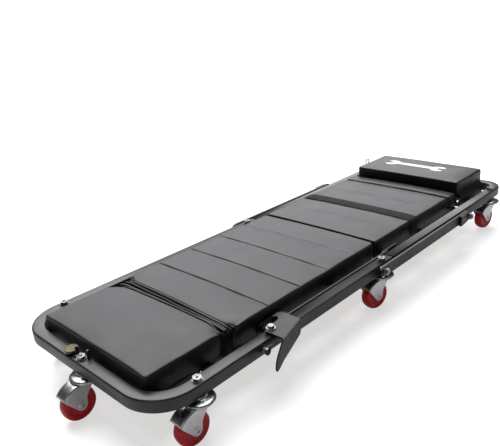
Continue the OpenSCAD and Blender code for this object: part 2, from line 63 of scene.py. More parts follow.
class Shader:
    """A material under construction: a Principled shader and short calls that wire nodes into it."""

    def __init__(self, name, color, rough, metallic=0.0, **sockets):
        self.mat = bpy.data.materials.new(name)
        self.mat.use_nodes = True
        self.tree = self.mat.node_tree
        self.bsdf = self.tree.nodes["Principled BSDF"]
        self.set(self.bsdf, "Base Color", (*color, 1.0))
        self.set(self.bsdf, "Roughness", rough)
        self.set(self.bsdf, "Metallic", metallic)
        for key, value in sockets.items():
            self.set(self.bsdf, key.replace("_", " "), value)
        self.coords = self.tree.nodes.new("ShaderNodeTexCoord").outputs["Object"]
        self.height = None

    def set(self, node, socket, value):
        node.inputs[socket].default_value = value

    def link(self, a, b):
        self.tree.links.new(a, b)

    def stretched(self, scale):
        node = self.tree.nodes.new("ShaderNodeMapping")
        self.set(node, "Scale", scale)
        self.link(self.coords, node.inputs["Vector"])
        return node.outputs["Vector"]

    def noise(self, scale, detail=3.0, rough=0.5, stretch=None, distortion=0.0):
        node = self.tree.nodes.new("ShaderNodeTexNoise")
        self.set(node, "Scale", scale)
        self.set(node, "Detail", detail)
        self.set(node, "Roughness", rough)
        self.set(node, "Distortion", distortion)
        self.link(self.stretched(stretch) if stretch else self.coords, node.inputs["Vector"])
        return node.outputs["Fac"]

    def pebbles(self):
        node = self.tree.nodes.new("ShaderNodeTexVoronoi")
        node.feature = "SMOOTH_F1"
        self.set(node, "Scale", PEBBLE_SCALE)
        self.set(node, "Smoothness", PEBBLE_SMOOTHNESS)
        self.link(self.coords, node.inputs["Vector"])
        return node.outputs["Distance"]

    def wave(self, scale, direction, distortion, detail=2.0, detail_scale=1.0):
        node = self.tree.nodes.new("ShaderNodeTexWave")
        node.bands_direction = direction
        self.set(node, "Scale", scale)
        self.set(node, "Distortion", distortion)
        self.set(node, "Detail", detail)
        self.set(node, "Detail Scale", detail_scale)
        self.link(self.coords, node.inputs["Vector"])
        return node.outputs["Fac"]

    def ramp(self, source, low, high, out_low=0.0, out_high=1.0):
        node = self.tree.nodes.new("ShaderNodeMapRange")
        for key, value in (("From Min", low), ("From Max", high), ("To Min", out_low), ("To Max", out_high)):
            self.set(node, key, value)
        self.link(source, node.inputs["Value"])
        return node.outputs["Result"]

    def math(self, operation, a, b):
        node = self.tree.nodes.new("ShaderNodeMath")
        node.operation = operation
        for socket, value in zip(node.inputs, (a, b)):
            if isinstance(value, (int, float)):
                socket.default_value = value
            else:
                self.link(value, socket)
        return node.outputs["Value"]

    def mix(self, factor, color_a, color_b):
        node = self.tree.nodes.new("ShaderNodeMix")
        node.data_type = "RGBA"
        self.link(factor, node.inputs["Factor"])
        for socket, color in (("A", color_a), ("B", color_b)):
            target = [s for s in node.inputs if s.name == socket and s.type == "RGBA"][0]
            if isinstance(color, tuple):
                target.default_value = (*color, 1.0)
            else:
                self.link(color, target)
        return [s for s in node.outputs if s.type == "RGBA"][0]

    def color(self, source):
        self.link(source, self.bsdf.inputs["Base Color"])
        return self

    def roughness(self, source, low, high, out_low, out_high):
        self.link(self.ramp(source, low, high, out_low, out_high), self.bsdf.inputs["Roughness"])
        return self

    def bump(self, height, strength, distance):
        node = self.tree.nodes.new("ShaderNodeBump")
        self.set(node, "Strength", strength)
        self.set(node, "Distance", distance)
        self.link(height, node.inputs["Height"])
        if self.height is not None:
            self.link(self.height, node.inputs["Normal"])
        self.height = node.outputs["Normal"]
        self.link(self.height, self.bsdf.inputs["Normal"])
        return self


def powder_coat(name, color, rough, peel, ior=1.45):
    """Black powder coat: orange-peel bump, faint dust and softly varying gloss."""
    s = Shader(name, color, rough, IOR=ior)
    cloud = s.noise(9, 4, 0.6)
    s.roughness(cloud, 0.3, 0.7, rough - 0.06, rough + 0.09)
    dust = s.noise(55, 6, 0.7)
    lighter = tuple(min(1.0, c * 1.9 + 0.006) for c in color)
    s.color(s.mix(s.ramp(dust, 0.5, 0.78), color, lighter))
    s.bump(s.noise(peel, 2, 0.5), 0.22, 0.00035)
    s.bump(s.noise(2600, 2, 0.5), 0.1, 0.0001)
    return s.mat


def zinc(name, color, rough, grain):
    """Zinc plate: bright metal with patchy gloss, fine brushing and a faint warm bloom."""
    s = Shader(name, color, rough, 1.0)
    patch = s.noise(70, 5, 0.6)
    warm = tuple(c * k for c, k in zip(color, (0.95, 0.93, 0.9)))
    s.color(s.mix(s.ramp(patch, 0.35, 0.75), color, warm))
    s.roughness(s.noise(160, 4, 0.6), 0.3, 0.7, rough - 0.03, rough + 0.06)
    s.bump(s.noise(grain, 3, 0.6, stretch=(1, 1, 0.15)), 0.05, 0.0001)
    return s.mat


def vinyl(name, color, rough, ior=1.32):
    """Upholstery vinyl: pebbled grain, fine creases, cloudy gloss and a slightly rubbed surface."""
    s = Shader(name, color, rough, IOR=ior)
    pebble = s.pebbles()
    crease = s.noise(140, 5, 0.65, distortion=0.4)
    cloud = s.noise(14, 5, 0.6)
    rubbed = tuple(min(1.0, c * 1.7 + 0.004) for c in color)
    s.color(s.mix(s.ramp(cloud, 0.35, 0.75), color, rubbed))
    blotch = s.math("ADD", s.math("MULTIPLY", cloud, 0.65), s.math("MULTIPLY", s.noise(420, 3, 0.6), 0.35))
    s.roughness(blotch, 0.35, 0.68, rough - 0.05, rough + 0.08)
    s.bump(pebble, 0.3, 0.00022)
    s.bump(crease, 0.22, 0.0006)
    s.bump(s.noise(26, 4, 0.55), 0.18, 0.004)
    return s.mat


def webbing(name, color):
    """Matte elastic band: ribs along its width and a fine weave."""
    s = Shader(name, color, 0.85, IOR=1.25, Sheen_Weight=0.06, Sheen_Roughness=0.5)
    rib = s.wave(260, "X", 0.15)
    weft = s.wave(330, "Y", 0.2)
    weave = s.math("MULTIPLY", rib, weft)
    lighter = tuple(c * 2.6 + 0.004 for c in color)
    s.color(s.mix(s.ramp(weave, 0.1, 0.9), color, lighter))
    s.roughness(s.noise(90, 4), 0.3, 0.7, 0.78, 0.92)
    s.bump(weave, 0.5, 0.0004)
    return s.mat


def plywood(name):
    """Raw plywood: warm face grain with fine pores and darker streaks."""
    s = Shader(name, (0.42, 0.29, 0.16), 0.62)
    streak = s.noise(7, 6, 0.62, stretch=(1, 11, 11), distortion=0.9)
    ring = s.wave(16, "Y", 5.5, 3, 1.4)
    grain = s.math("ADD", s.math("MULTIPLY", streak, 0.6), s.math("MULTIPLY", ring, 0.4))
    s.color(s.mix(s.ramp(grain, 0.3, 0.75), (0.33, 0.21, 0.105), (0.52, 0.385, 0.225)))
    s.roughness(grain, 0.3, 0.7, 0.5, 0.72)
    s.bump(s.noise(300, 4, 0.6, stretch=(0.12, 1, 1)), 0.3, 0.0005)
    return s.mat


def polyurethane(name):
    """Cast red wheel: deep glossy red with faint flow marks, patchy gloss and a fine bump."""
    s = Shader(name, (0.4, 0.009, 0.011), 0.22, IOR=1.3)
    flow = s.noise(45, 5, 0.6, distortion=0.6)
    s.color(s.mix(s.ramp(flow, 0.35, 0.72), (0.42, 0.009, 0.011), (0.29, 0.005, 0.007)))
    s.roughness(s.noise(120, 5, 0.65), 0.35, 0.72, 0.16, 0.36)
    s.bump(s.noise(500, 3, 0.5), 0.1, 0.0002)
    return s.mat


def brass(name, color):
    """Dull brass with darker tarnish and turning marks."""
    s = Shader(name, color, 0.45, 1.0)
    tarnish = s.noise(220, 5, 0.65)
    s.color(s.mix(s.ramp(tarnish, 0.4, 0.75), color, (0.045, 0.034, 0.021)))
    s.roughness(tarnish, 0.3, 0.75, 0.38, 0.6)
    s.bump(s.wave(420, "X", 0.6), 0.15, 0.0002)
    return s.mat


def ink(name):
    """White screen print on the vinyl, slightly broken up by the grain."""
    s = Shader(name, (0.8, 0.8, 0.8), 0.45)
    worn = s.noise(900, 3, 0.6)
    s.color(s.mix(s.ramp(worn, 0.62, 0.78), (0.82, 0.82, 0.81), (0.42, 0.42, 0.42)))
    s.roughness(s.noise(200, 3), 0.3, 0.7, 0.38, 0.55)
    s.bump(s.pebbles(), 0.3, 0.0002)
    return s.mat


def moulded(name, color, rough):
    """Dark moulded plastic: soft sheen with cloudy gloss and a fine bump."""
    s = Shader(name, color, rough, Coat_Weight=0.2, Coat_Roughness=0.15)
    s.roughness(s.noise(160, 4), 0.3, 0.7, rough - 0.06, rough + 0.1)
    s.color(s.mix(s.ramp(s.noise(60, 4), 0.45, 0.8), color, tuple(c * 1.8 + 0.004 for c in color)))
    s.bump(s.noise(1200, 2), 0.12, 0.0001)
    return s.mat


PAINT = powder_coat("frame_powder_coat", (0.0045, 0.0045, 0.005), 0.36, 780)
LEVER = powder_coat("lever_powder_coat", (0.006, 0.006, 0.007), 0.38, 900, 1.32)
BOLT = zinc("bolt_zinc_plate", (0.24, 0.243, 0.25), 0.34, 1800)
BRIGHT = zinc("castor_zinc_plate", (0.42, 0.424, 0.44), 0.27, 1500)
NUT = zinc("nut_zinc_plate", (0.2, 0.203, 0.21), 0.4, 1800)
# Near-black metal for the inside of bores: painted shade in the holes.
BORE_SHADE = zinc("painted_bore_shade", (0.02, 0.02, 0.021), 0.5, 1800)
WIRE = powder_coat("wire_loop_coat", (0.004, 0.004, 0.0045), 0.6, 900, 1.15)
SPRING = zinc("spring_steel", (0.16, 0.16, 0.165), 0.34, 2400)
VINYL = vinyl("cushion_vinyl", (0.0052, 0.0052, 0.0058), 0.38)
# Darker copy of the cushion vinyl with a duller finish: its darker colour is painted shade for the gathers
# recessed in the slit.
SHADED_VINYL = vinyl("vinyl_painted_shade", (0.0032, 0.0032, 0.0036), 0.6, 1.18)
BAND = webbing("matte_band", (0.006, 0.006, 0.0065))
WOOD = plywood("raw_plywood")
RED = polyurethane("red_polyurethane")
BRASS = brass("satin_brass", (0.09, 0.072, 0.046))
INK = ink("white_print")
PLASTIC = moulded("dark_plastic", (0.012, 0.012, 0.012), 0.3)


# ---------------------------------------------------------------- mesh helpers
BEVEL_SEGMENTS = 2
SHARP_ANGLE = 35
TUBE_WALL, TUBE_CORNER, MOUTH_DEPTH = 0.002, 0.0034, 0.03


def add_mesh(name, verts, faces, material, smooth=True):
    mesh = bpy.data.meshes.new(name)
    mesh.from_pydata([tuple(v) for v in verts], [], [tuple(f) for f in faces])
    mesh.validate()
    obj = bpy.data.objects.new(name, mesh)
    SCENE.collection.objects.link(obj)
    mesh.materials.append(material)
    bm = bmesh.new()
    bm.from_mesh(mesh)
    bmesh.ops.recalc_face_normals(bm, faces=bm.faces)
    bm.to_mesh(mesh)
    bm.free()
    if smooth:
        mesh.polygons.foreach_set("use_smooth", [True] * len(mesh.polygons))
    return obj


def attach(obj, body, nodes=()):
    """Fixes a piece to a CAD body and hides the CAD nodes that it stands for."""
    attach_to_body(obj, body)
    if nodes:
        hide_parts(*nodes)


def bevel(obj, width, angle=SHARP_ANGLE):
    mod = obj.modifiers.new("edges", "BEVEL")
    mod.width = width
    mod.segments = BEVEL_SEGMENTS
    mod.limit_method = "ANGLE"
    mod.angle_limit = math.radians(angle)
    mod.harden_normals = False
    normals = obj.modifiers.new("normals", "WEIGHTED_NORMAL")
    normals.keep_sharp = False


def subdivide(obj, levels):
    mod = obj.modifiers.new("smooth", "SUBSURF")
    mod.levels = levels
    mod.render_levels = levels


def arc_path(cx, cy, r, a0, a1, steps):
    """Points on an arc about (cx, cy) from angle a0 to a1 in degrees."""
    return [(cx + r * math.cos(math.radians(a0 + (a1 - a0) * i / steps)),
             cy + r * math.sin(math.radians(a0 + (a1 - a0) * i / steps))) for i in range(steps + 1)]


def rounded_square(size, r):
    """Outline of a square with rounded corners about the origin, anticlockwise."""
    c = size / 2 - r
    out = []
    for cx, cy, a0 in ((c, c, 0), (-c, c, 90), (-c, -c, 180), (c, -c, 270)):
        out += arc_path(cx, cy, r, a0, a0 + 90, 4)
    return out


def tube_frame(name, path, size, z_mid, material):
    """Square tube swept along a path in the floor plane, open at both ends."""
    outer = rounded_square(size, TUBE_CORNER)
    inner = rounded_square(size - 2 * TUBE_WALL, TUBE_CORNER - TUBE_WALL)
    n = len(outer)
    rings = []
    for i, (x, y) in enumerate(path):
        a, b = path[max(i - 1, 0)], path[min(i + 1, len(path) - 1)]
        d = Vector((b[0] - a[0], b[1] - a[1], 0)).normalized()
        side = Vector((-d.y, d.x, 0))
        rings.append((Vector((x, y, z_mid)), side, d))
    verts, faces = [], []

    def ring(section, centre, side):
        start = len(verts)
        verts.extend(centre + side * u + Vector((0, 0, v)) for u, v in section)
        return start

    def join(a, b):
        faces.extend((a + k, a + (k + 1) % n, b + (k + 1) % n, b + k) for k in range(n))

    starts = [ring(outer, c, s) for c, s, _ in rings]
    for a, b in zip(starts, starts[1:]):
        join(a, b)
    for index, sign in ((0, 1), (-1, -1)):
        centre, side, along = rings[index]
        mouth = ring(inner, centre, side)
        deep = ring(inner, centre + along * sign * MOUTH_DEPTH, side)
        join(starts[index], mouth)
        join(mouth, deep)
        faces.append(tuple(deep + k for k in range(n)))
    return add_mesh(name, verts, faces, material)


def grid_steps(low, high, step, extra):
    """Even steps from low to high with extra stations merged in and crowded ones dropped."""
    crowded = step * 0.42
    count = max(2, round((high - low) / step))
    base = [low + (high - low) * i / count for i in range(count + 1)]
    fixed = sorted(e for e in extra if low < e < high)
    kept = [b for b in base if all(abs(b - e) > crowded for e in fixed) or b in (low, high)]
    return sorted(set(kept + fixed))


def box_grid(xs, ys, zs):
    """Closed box surface with grid lines at the given stations. Returns vertices and quads."""
    index, verts, faces = {}, [], []

    def at(i, j, k):
        key = (i, j, k)
        if key not in index:
            index[key] = len(verts)
            verts.append((xs[i], ys[j], zs[k]))
        return index[key]

    nx, ny, nz = len(xs) - 1, len(ys) - 1, len(zs) - 1
    for i in range(nx):
        for j in range(ny):
            for k in (0, nz):
                faces.append((at(i, j, k), at(i + 1, j, k), at(i + 1, j + 1, k), at(i, j + 1, k)))
    for i in range(nx):
        for k in range(nz):
            for j in (0, ny):
                faces.append((at(i, j, k), at(i + 1, j, k), at(i + 1, j, k + 1), at(i, j, k + 1)))
    for j in range(ny):
        for k in range(nz):
            for i in (0, nx):
                faces.append((at(i, j, k), at(i, j + 1, k), at(i, j + 1, k + 1), at(i, j, k + 1)))
    return np.array(verts), faces


def round_box(points, low, high, plan_r, edge_r):
    """Rounds the upright corners by plan_r and the top and bottom edges by edge_r."""
    out = points.copy()
    inner_low, inner_high = low[:2] + plan_r, high[:2] - plan_r
    core = np.clip(out[:, :2], inner_low, inner_high)
    away = out[:, :2] - core
    corner = (np.abs(away) > TINY).all(1)
    reach = np.linalg.norm(away, axis=1)
    biggest = np.abs(away).max(1)
    scale = np.where(corner, biggest / np.maximum(reach, TINY), 1.0)
    out[:, :2] = core + away * scale[:, None]
    mid = (low[2] + high[2]) / 2
    edge = min(edge_r, (high[2] - low[2]) / 2 - 1e-4)
    away = out[:, :2] - core
    reach = np.linalg.norm(away, axis=1)
    depth_inside = np.where(reach < TINY, plan_r, plan_r - reach)
    over = np.clip(edge - depth_inside, 0, edge)
    up = out[:, 2] - mid
    vertical = np.clip(np.abs(up) - ((high[2] - low[2]) / 2 - edge), 0, edge)
    both = (over > TINY) & (vertical > TINY)
    length = np.hypot(over, vertical)
    largest = np.maximum(over, vertical)
    k = np.where(both, largest / np.maximum(length, TINY), 1.0)
    unit = away / np.maximum(reach, TINY)[:, None]
    out[:, :2] -= unit * (over * (1 - k))[:, None]
    out[:, 2] -= np.sign(up) * vertical * (1 - k)
    return out


def read_points(obj):
    return np.array([v.co for v in obj.data.vertices])


def write_points(obj, points):
    obj.data.vertices.foreach_set("co", points.astype(np.float32).ravel())
    obj.data.update()


def simulate_puff(obj, pinned, cap, pressure):
    """Blows the closed mesh up as cloth with the pinned vertices held, then bakes the capped result."""
    last_frame = 18
    start = read_points(obj)
    group = obj.vertex_groups.new(name="held")
    for weight, members in pinned:
        group.add(members, weight, "REPLACE")
    mod = obj.modifiers.new("cloth", "CLOTH")
    cloth = mod.settings
    cloth.quality = 6
    cloth.mass = 0.25
    cloth.air_damping = 2.0
    cloth.tension_stiffness = 22
    cloth.compression_stiffness = 22
    cloth.shear_stiffness = 12
    cloth.bending_stiffness = 0.6
    cloth.vertex_group_mass = "held"
    cloth.pin_stiffness = 1.0
    cloth.use_pressure = True
    cloth.uniform_pressure_force = pressure
    cloth.effector_weights.gravity = 0.0
    mod.collision_settings.use_collision = False
    mod.collision_settings.use_self_collision = False
    mod.point_cache.frame_start = 1
    mod.point_cache.frame_end = last_frame + 2
    for f in range(1, last_frame + 1):
        SCENE.frame_set(f)
    depsgraph = bpy.context.evaluated_depsgraph_get()
    moved = read_points(obj.evaluated_get(depsgraph))
    obj.modifiers.remove(mod)
    obj.vertex_groups.clear()
    SCENE.frame_set(1)
    step = moved - start
    length = np.linalg.norm(step, axis=1)
    step *= (np.minimum(length, cap) / np.maximum(length, TINY))[:, None]
    write_points(obj, start + step)


def sheet_faces(columns, rows):
    """Faces of a thin closed sheet, its vertices in order of layer, column and row."""
    def at(layer, i, j):
        return (layer * (columns + 1) + i) * (rows + 1) + j

    faces = []
    for i in range(columns):
        for j in range(rows):
            for layer in (0, 1):
                faces.append((at(layer, i, j), at(layer, i + 1, j),
                              at(layer, i + 1, j + 1), at(layer, i, j + 1)))
        for j in (0, rows):
            faces.append((at(0, i, j), at(0, i + 1, j), at(1, i + 1, j), at(1, i, j)))
    for j in range(rows):
        for i in (0, columns):
            faces.append((at(0, i, j), at(0, i, j + 1), at(1, i, j + 1), at(1, i, j)))
    return faces


def roll_along(name, points, radius, material):
    """Round roll swept through the points, with closed ends."""
    sides = 12
    pts = [Vector(p) for p in points]
    verts, faces = [], []
    up = Vector((0, 0, 1))
    for i, p in enumerate(pts):
        d = (pts[min(i + 1, len(pts) - 1)] - pts[max(i - 1, 0)]).normalized()
        a = d.cross(up if abs(d.z) < 0.9 else Vector((1, 0, 0))).normalized()
        b = a.cross(d).normalized()
        for k in range(sides):
            t = 2 * math.pi * k / sides
            verts.append(p + (a * math.cos(t) + b * math.sin(t)) * radius)
    for i in range(len(pts) - 1):
        for k in range(sides):
            q = (k + 1) % sides
            faces.append((i * sides + k, i * sides + q, (i + 1) * sides + q, (i + 1) * sides + k))
    faces.append(tuple(range(sides)))
    faces.append(tuple((len(pts) - 1) * sides + k for k in range(sides)))
    return add_mesh(name, verts, faces, material)


# ---------------------------------------------------------------- cushions
SEAM_LOOPS = (-0.005, -0.0016, -0.0006, 0.0, 0.0006, 0.0016, 0.005)
EDGE_LOOPS = [0.001, 0.0035, 0.008]
CORNER_LOOPS = [0.014, 0.02]
GRID_X, GRID_Y, GRID_Z = 0.011, 0.012, 0.009
PLAN_R = 0.008
HELD_HEIGHT, RIM_DROP, RIM_WIDTH, SEWN_DROP, SEWN_WIDTH = 0.012, 0.007, 0.006, 0.012, 0.002
PUFF_CAP, PUFF_PRESSURE = 0.0022, 2.4
RIM_HOLD, SEAM_HOLD, BOARD_HOLD = 0.9, 0.98, 1.0


def row(x_mm):
    """Metres along the creeper from a distance in millimetres behind the foot bar's outer edge."""
    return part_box("frame_foot")[0].x + x_mm * MM


def cushion_blank(name, low, high, seams, edge_r, dent):
    """Rounded box with grid lines close together beside the seams and the edges."""
    seam_x = [x + d for x, _, _ in seams for d in SEAM_LOOPS]
    near = EDGE_LOOPS + (CORNER_LOOPS if dent else [])
    near_x, near_y = ([low[i] + d for d in near] + [high[i] - d for d in near] for i in (0, 1))
    xs = grid_steps(low[0], high[0], GRID_X, seam_x + near_x)
    ys = grid_steps(low[1], high[1], GRID_Y, near_y)
    zs = grid_steps(low[2], high[2], GRID_Z, [low[2] + 0.003, high[2] - 0.0035, high[2] - 0.001])
    verts, faces = box_grid(xs, ys, zs)
    return add_mesh(name, round_box(verts, low, high, PLAN_R, edge_r), faces, VINYL)


def raise_crown(co, low, high, seams, crown):
    """Lifts the top by crown, a little less beside the seams and down to nothing at the long sides."""
    stations = [low[0]] + [x for x, _, _ in seams] + [high[0]]
    panel = np.zeros(len(co))
    for a, b in zip(stations, stations[1:]):
        inside = (co[:, 0] >= a) & (co[:, 0] <= b)
        t = np.clip((co[:, 0] - a) / max(b - a, 1e-6), 0, 1)
        panel = np.where(inside, np.power(4 * t * (1 - t), 0.5), panel)
    u = np.clip((co[:, 1] - low[1]) / (high[1] - low[1]), 0, 1)
    across = np.power(np.clip(4 * u * (1 - u), 0, 1), 0.7)
    fade = 0.008
    lift = np.clip((co[:, 2] - (high[2] - fade)) / fade, 0, 1)
    co[:, 2] += crown * lift * (0.6 + 0.4 * panel) * across


def puff(obj, co, low, high, seams, strap):
    """Cloth simulation that holds the board side, the rim of the top, the seams and the strap."""
    top = high[2]
    held = [i for i, v in enumerate(co) if v[2] < low[2] + HELD_HEIGHT]
    rim = [i for i, v in enumerate(co) if v[2] > top - RIM_DROP
           and min(v[0] - low[0], high[0] - v[0], v[1] - low[1], high[1] - v[1]) < RIM_WIDTH]
    sewn = [i for i, v in enumerate(co) if v[2] > top - SEWN_DROP
            and (any(abs(v[0] - x) < SEWN_WIDTH for x, _, _ in seams) or strap[0] < v[0] < strap[1])]
    simulate_puff(obj, [(RIM_HOLD, rim), (SEAM_HOLD, sewn), (BOARD_HOLD, held)], PUFF_CAP, PUFF_PRESSURE)


def seam_groove(x, y, seams):
    """Depth of the sewn groove at a point of the top."""
    groove = 0.0
    for seam_x, depth, half in seams:
        d = abs(x - seam_x)
        if d < 0.012:
            wander = 1.0 + 0.2 * math.sin(y * 61 + seam_x * 40)
            groove = max(groove, depth * wander * math.exp(-((d / half) ** 2)))
    return groove


SIDE_START, SIDE_FADE = 0.016, 0.012
CORNER_REACH, CORNER_DROP, CORNER_IN, CORNER_BACK = 0.017, 0.0085, 0.0035, 0.006
SKEW_REACH = 0.035


def sculpt(co, low, high, seams, wrinkle, pleats, skew, dent, seed):
    """Moves the points for grooves, wrinkles, pleats, sunken corners and askew ends."""
    top = high[2]
    span = high[1] - low[1]
    for i in range(len(co)):
        x, y, z = co[i]
        on_top = min(1.0, max(0.0, (z - (top - SIDE_START)) / SIDE_FADE))
        side = 1.0 - on_top
        outward = 1.0 if y > 0 else -1.0
        edge = min(1.0, max(0.0, (abs(y) - (high[1] - SIDE_FADE)) / SIDE_FADE))
        groove = seam_groove(x, y, seams)
        p = Vector((x * 16 + seed, y * 9, z * 20))
        swell = noise.noise(p) * wrinkle + noise.noise(p * 3.1) * wrinkle * 0.35
        co[i, 2] += (swell * 1.2 - groove) * on_top
        co[i, 1] -= outward * groove * 0.3 * edge * on_top
        if pleats:
            folds = noise.noise(Vector((x * 95 + seed, outward * 3.3, z * 9))) \
                + 0.5 * noise.noise(Vector((x * 210, outward * 7.7, z * 16)))
            co[i, 1] += outward * folds * pleats * edge * min(1.0, side + 0.25)
        co[i, 1] += outward * swell * side * edge * 2.0
        if dent:
            end_x = high[0] if dent > 0 else low[0]
            away = math.hypot(x - end_x, (abs(y) - high[1]) * 0.8)
            sink = math.exp(-((away / CORNER_REACH) ** 2))
            tuck = 1.0 + 0.7 * noise.noise(Vector((x * 230, y * 120 + seed, 3.0)))
            co[i, 2] -= CORNER_DROP * sink * on_top * tuck
            co[i, 1] -= outward * CORNER_IN * sink * tuck
            co[i, 0] -= dent * CORNER_BACK * sink
        t = (y - low[1]) / span
        for reach, end, shift in ((x - low[0], -1.0, skew[0]), (high[0] - x, 1.0, skew[1])):
            if shift:
                co[i, 0] += end * (0.6 * shift - shift * t) * math.exp(-((reach / SKEW_REACH) ** 2))


def cushion(name, node, body, seams, crown, edge_r=0.004, inset=0.0008, wrinkle=0.0007, pleats=0.0,
            skew=(0.0, 0.0), dent=0.0, strap=(0.0, 0.0), seed=0.0):
    """Crowned vinyl cushion in the space of a CAD pad, sewn down at each (x, depth, half width).

    skew moves the front and the rear edge apart at the near side, as the real covers sit askew at the slit.
    dent pulls the corners down at one end: -1 the front end, 1 the rear end.
    strap is the stretch of X held down by the elastic band."""
    low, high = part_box(node)
    low = np.array(low) + (inset, inset, 0.0)
    high = np.array(high) - (inset, inset, 0.0)
    obj = cushion_blank(name, low, high, seams, edge_r, dent)
    co = read_points(obj)
    raise_crown(co, low, high, seams, crown)
    write_points(obj, co)
    puff(obj, co, low, high, seams, strap)
    co = read_points(obj)
    sculpt(co, low, high, seams, wrinkle, pleats, skew, dent, seed)
    write_points(obj, co)
    subdivide(obj, 2)
    attach(obj, body, [node])
    return obj


cushion("foot_cushion", "foot_pad", "foot_frame", [(row(196), 0.0014, 0.0012)], crown=0.004,
        wrinkle=0.0011, skew=(0.0, 0.006), dent=1.0, seed=1.7)
cushion("long_cushion", "long_pad", "foot_frame",
        [(row(220.5), 0.0014, 0.0012), (row(310), 0.0022, 0.0015), (row(404), 0.0022, 0.0015),
         (row(496), 0.002, 0.0015), (row(584), 0.0009, 0.0013)], crown=0.0035, wrinkle=0.0009,
        skew=(0.006, 0.0), dent=-1.0, seed=4.2)
cushion("seat_cushion", "seat_pad", "head_frame",
        [(row(765), 0.0008, 0.0012), (row(940), 0.0008, 0.0012), (row(1031), 0.009, 0.0032)],
        crown=0.003, strap=(row(820), row(865)), seed=8.9)
REST = cushion("headrest_cushion", "headrest_pad", "headrest", [], crown=0.0025, edge_r=0.0045, inset=0.0006,
               wrinkle=0.0006, pleats=0.0016, seed=12.4)


# ---------------------------------------------------------------- rolled edges along the slit
def rolled_edge(name, x, lean, drop, radius, seed):
    """Vinyl roll across the creeper beside the slit, leaning by lean from its far end to its near end."""
    _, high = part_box("foot_pad")
    stations, end_gap, end_drop, sway = 60, 0.004, 0.004, 0.0009
    half = high.y - end_gap
    points = []
    for i in range(stations + 1):
        t = i / stations
        y = half - 2 * half * t
        wobble = noise.noise(Vector((seed, y * 22, 0.0)))
        ends = min(1.0, 14 * t, 14 * (1 - t))
        z = high.z - drop - end_drop * (1 - ends) + 0.0006 * wobble
        points.append((x + lean * t + sway * wobble, y, z))
    obj = roll_along(name, points, radius, VINYL)
    subdivide(obj, 1)
    attach(obj, "foot_frame")


SLIT_FRONT, SLIT_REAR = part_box("foot_pad")[1].x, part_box("long_pad")[0].x
rolled_edge("slit_roll_front", SLIT_FRONT - 0.0010, 0.0042, 0.0028, 0.0030, 2.2)
rolled_edge("slit_roll_rear", SLIT_REAR + 0.0012, -0.0040, 0.0030, 0.0028, 6.1)


def slit_gather(name, side):
    """Bunched vinyl that closes one end of the slit, folded upright and tucked in at its foot end."""
    low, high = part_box("foot_pad")
    x0, x1 = SLIT_FRONT - 0.012, SLIT_REAR + 0.014
    top, bottom = high.z, low.z - 0.0045
    sag, bulge, fold, rim_in, tuck_in = 0.0035, 0.0022, 0.0032, 0.0055, 0.009
    columns, rows = 30, 12
    verts = []
    for layer in (0.0, 0.0014):
        for i in range(columns + 1):
            t = i / columns
            arch = math.sin(math.pi * t)
            tuck = tuck_in * max(0.0, 1 - t / 0.24) ** 1.5
            for j in range(rows + 1):
                v = j / rows
                crease = noise.noise(Vector((t * 9 + side, 1.7, v * 1.5))) * fold
                belly = bulge * arch * (0.4 + 0.6 * v)
                rim = -rim_in * max(0.0, 1 - v / 0.16) ** 2 - tuck
                z = top - sag - sag * arch + (bottom - top) * v
                verts.append((x0 + (x1 - x0) * t, side * (high.y + 0.0002 + belly + crease + rim - layer), z))
    # The gather wears the darker vinyl copy, which is painted shade.
    obj = add_mesh(name, verts, sheet_faces(columns, rows), SHADED_VINYL)
    subdivide(obj, 1)
    attach(obj, "foot_frame")


slit_gather("slit_gather_left", 1)
slit_gather("slit_gather_right", -1)


# ---------------------------------------------------------------- cover edges turned down under the boards
BAR_GAP = 0.0004
HEM_END, HEM_STEP, HEM_INSET, HEM_THICK, HEM_ROOT, HEM_SWAY = 0.009, 0.012, 0.0012, 0.0016, 0.004, 0.0006


def bar_spans(node):
    """Distances along X taken up by the flat bars of a CAD node."""
    obj = NODES[node]
    points = [obj.matrix_world @ v.co for v in obj.data.vertices]
    widest_bar, past_middle = 0.04, 0.1
    xs = sorted({round(p.x, 4) for p in points if abs(p.y) > past_middle})
    spans = [[xs[0], xs[0]]]
    for x in xs:
        if x - spans[-1][1] > widest_bar:
            spans.append([x, x])
        spans[-1][1] = x
    return spans


def hem_runs(low, high, spans):
    """Rows of stations along X between the flat bars."""
    xs = grid_steps(low.x + HEM_END, high.x - HEM_END, HEM_STEP,
                    [edge + d for a, b in spans for edge, d in ((a, -BAR_GAP), (b, BAR_GAP))])
    runs = [[]]
    for p, q in zip(xs, xs[1:]):
        if any(a < (p + q) / 2 < b for a, b in spans):
            runs.append([])
        elif runs[-1]:
            runs[-1].append(q)
        else:
            runs[-1] += [p, q]
    return [run for run in runs if run]


def hem(name, pad, bars, body, depth):
    """Thin lip of vinyl along both long sides below the board, broken where the flat bars cross."""
    low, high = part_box(pad)
    spans = bar_spans(bars)
    verts, faces = [], []
    for side in (-1, 1):
        for run in hem_runs(low, high, spans):
            base = len(verts)
            for x in run:
                sway = noise.noise(Vector((x * 35, side * 2.0, 0.0))) * HEM_SWAY
                y_out = side * (high.y - HEM_INSET + sway)
                y_in = side * (high.y - HEM_INSET - HEM_THICK + sway)
                root = low.z + HEM_ROOT
                tip = low.z - depth + abs(sway) * 1.5
                verts += [(x, y_out, root), (x, y_out, tip), (x, y_in, tip), (x, y_in, root)]
            last = base + 4 * (len(run) - 1)
            for ring in range(base, last, 4):
                for m, n in ((0, 1), (1, 2), (2, 3), (3, 0)):
                    faces.append((ring + m, ring + n, ring + 4 + n, ring + 4 + m))
            faces += [(base, base + 1, base + 2, base + 3), (last, last + 1, last + 2, last + 3)]
    attach(add_mesh(name, verts, faces, VINYL), body)


hem("foot_hem", "foot_pad", "cross_bars_foot", "foot_frame", 0.0085)
hem("long_hem", "long_pad", "cross_bars_foot", "foot_frame", 0.006)
hem("seat_hem", "seat_pad", "cross_bars_head", "head_frame", 0.006)


